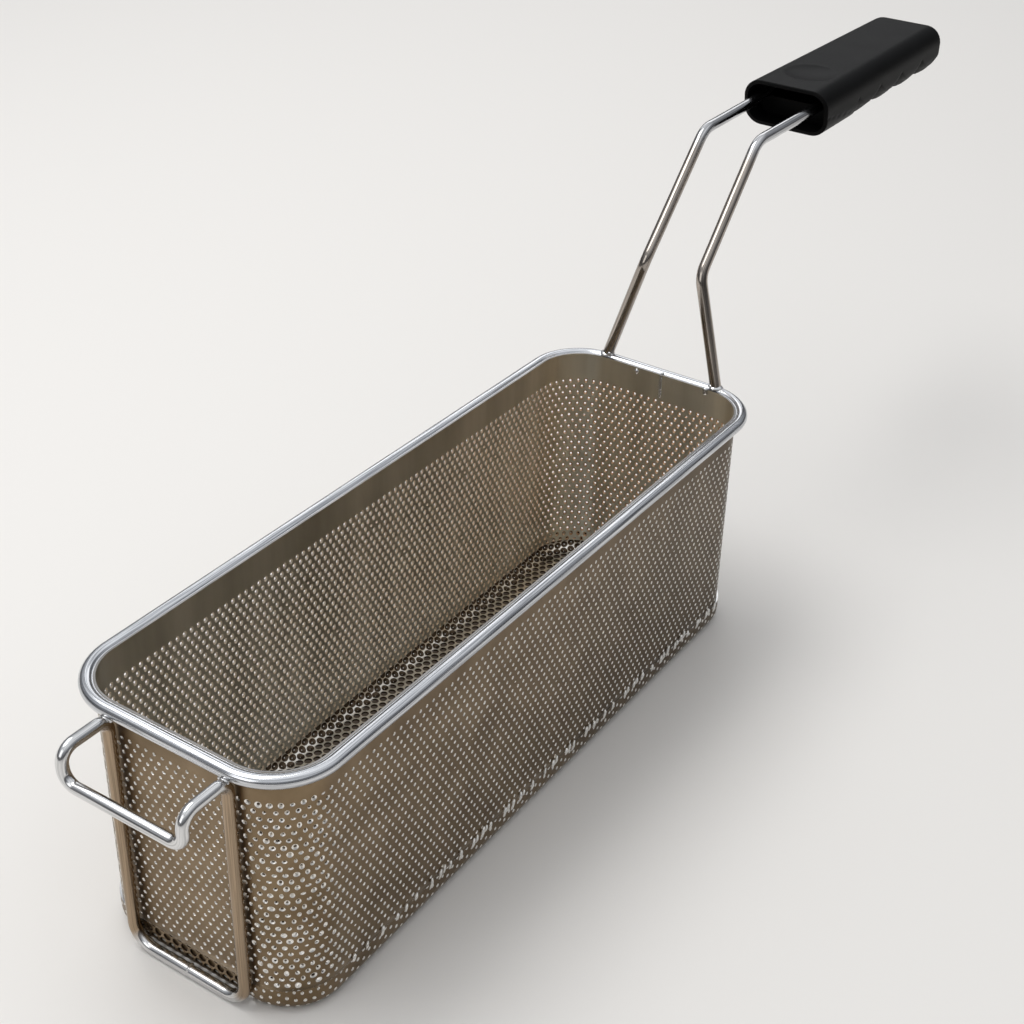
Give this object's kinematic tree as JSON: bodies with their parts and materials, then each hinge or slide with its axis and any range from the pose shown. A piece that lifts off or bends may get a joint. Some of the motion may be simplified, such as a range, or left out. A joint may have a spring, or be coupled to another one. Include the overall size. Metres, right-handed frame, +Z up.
{
  "type": "pasta basket",
  "caption": "Long rectangular perforated steel basket with a wire rim, a front hanging frame and a raised wire handle with a black finger grip.",
  "frame": {"origin": "centre of the basket's bottom, on the surface that it stands on", "axes": "+Y back along the handle, +X to the right, +Z up"},
  "size_m": [0.105, 0.5798, 0.2117],
  "materials": {
    "perforated_steel": "electropolished perforated stainless sheet",
    "bright_wire": "electropolished round stainless wire",
    "grip_plastic": "fine-grained black moulding"
  },
  "bodies": {
    "root": {"wall_sheet": "perforated_steel", "bottom_pan": "perforated_steel", "rim_wire": "bright_wire", "hanging_frame": "bright_wire", "handle_wire": "bright_wire", "grip": "grip_plastic"}
  },
  "joints": []
}
